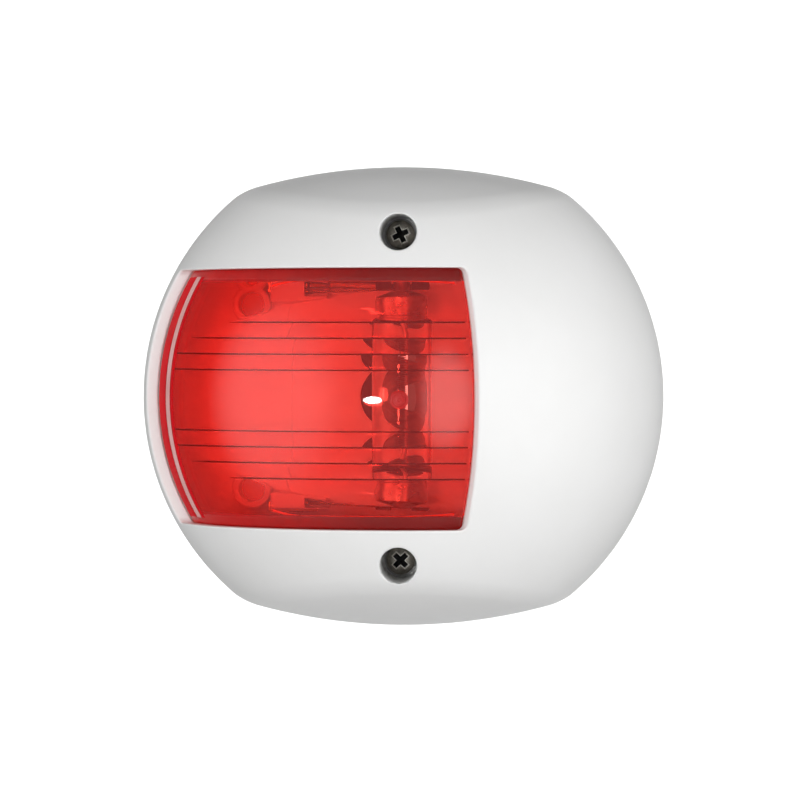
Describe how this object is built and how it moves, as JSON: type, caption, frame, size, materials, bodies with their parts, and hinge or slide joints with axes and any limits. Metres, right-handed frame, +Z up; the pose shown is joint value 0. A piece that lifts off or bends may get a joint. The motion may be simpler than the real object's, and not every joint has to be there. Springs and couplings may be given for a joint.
{
  "type": "navigation light",
  "caption": "Red port sidelight: domed white cover with a Fresnel lens over a flat back plate, with a festoon bulb in spring contacts and deep-set cover screws.",
  "frame": {"origin": "middle of the flat back face, which is the middle of the four mounting holes, on the wall plane", "axes": "+Z up, +X to the right as seen from the front (aft on the vessel), the lens and cover face -Y, +Y into the wall"},
  "size_m": [0.0878, 0.0421, 0.0772],
  "materials": {
    "white_plastic": "finely textured white moulded plastic with a soft sheen",
    "red_lens": "clear red moulded plastic, polished",
    "foam_rubber": "matt closed-cell foam rubber",
    "grey_rubber": "matt grey rubber",
    "black_rubber": "matt black rubber",
    "silicone": "milky silicone rubber",
    "brass": "stamped brass strip",
    "plated_brass": "bright tin-plated brass",
    "spring_bronze": "stamped spring bronze",
    "nickel": "nickel-plated sheet, lightly tarnished",
    "solder": "dull grey solder",
    "tungsten": "dark grey drawn wire",
    "bulb_glass": "clear thin glass",
    "dark_steel": "dark passivated stainless steel"
  },
  "bodies": {
    "base": {"back_plate": "white_plastic", "base_seal": "foam_rubber", "cover_seal": "grey_rubber", "cable_grommet": "black_rubber", "upper_terminal": "brass", "lower_terminal": "brass", "upper_rivet": "plated_brass", "lower_rivet": "plated_brass"},
    "upper_leaf": {"upper_contact": "spring_bronze"},
    "lower_leaf": {"lower_contact": "spring_bronze"},
    "bulb": {"bulb_glass": "bulb_glass", "upper_bulb_cap": "nickel", "lower_bulb_cap": "nickel", "upper_bulb_tip": "solder", "lower_bulb_tip": "solder", "upper_lead": "nickel", "lower_lead": "nickel", "filament": "tungsten"},
    "cover": {"front_cover": "white_plastic", "red_lens": "red_lens", "lens_seal": "silicone"},
    "upper_screw_carrier": {"upper_screw_seal": "black_rubber"},
    "lower_screw_carrier": {"lower_screw_seal": "black_rubber"},
    "upper_screw": {"upper_cover_screw": "dark_steel"},
    "lower_screw": {"lower_cover_screw": "dark_steel"}
  },
  "joints": [
    {"name": "cover_slide", "type": "slide", "parent": "base", "child": "cover", "axis": [0, -1, 0], "range_m": [0, 0.06]},
    {"name": "bulb_slide", "type": "slide", "parent": "base", "child": "bulb", "axis": [0, -1, 0], "range_m": [0, 0.018]},
    {"name": "upper_contact_flex", "type": "hinge", "parent": "base", "child": "upper_leaf", "pos_m": [-0.0153, -0.0097, 0.0176], "axis": [0, -1, 0], "range_deg": [0, 5], "stiffness_Nm_per_rad": 0.2},
    {"name": "lower_contact_flex", "type": "hinge", "parent": "base", "child": "lower_leaf", "pos_m": [-0.0153, -0.0097, -0.0176], "axis": [0, 1, 0], "range_deg": [0, 5], "stiffness_Nm_per_rad": 0.2},
    {"name": "upper_screw_lift", "type": "slide", "parent": "cover", "child": "upper_screw_carrier", "axis": [0, -1, 0], "range_m": [0, 0.009]},
    {"name": "upper_screw_turn", "type": "hinge", "parent": "upper_screw_carrier", "child": "upper_screw", "pos_m": [0, -0.0181, 0.0268], "axis": [0, -1, 0], "range_deg": [0, 3241]},
    {"name": "lower_screw_lift", "type": "slide", "parent": "cover", "child": "lower_screw_carrier", "axis": [0, -1, 0], "range_m": [0, 0.009]},
    {"name": "lower_screw_turn", "type": "hinge", "parent": "lower_screw_carrier", "child": "lower_screw", "pos_m": [0, -0.0181, -0.0268], "axis": [0, -1, 0], "range_deg": [0, 3241]}
  ],
  "couplings": [
    {"joint": "upper_screw_turn", "follows": "upper_screw_lift", "rad_per_m": 6283.2},
    {"joint": "lower_screw_turn", "follows": "lower_screw_lift", "rad_per_m": 6283.2}
  ]
}
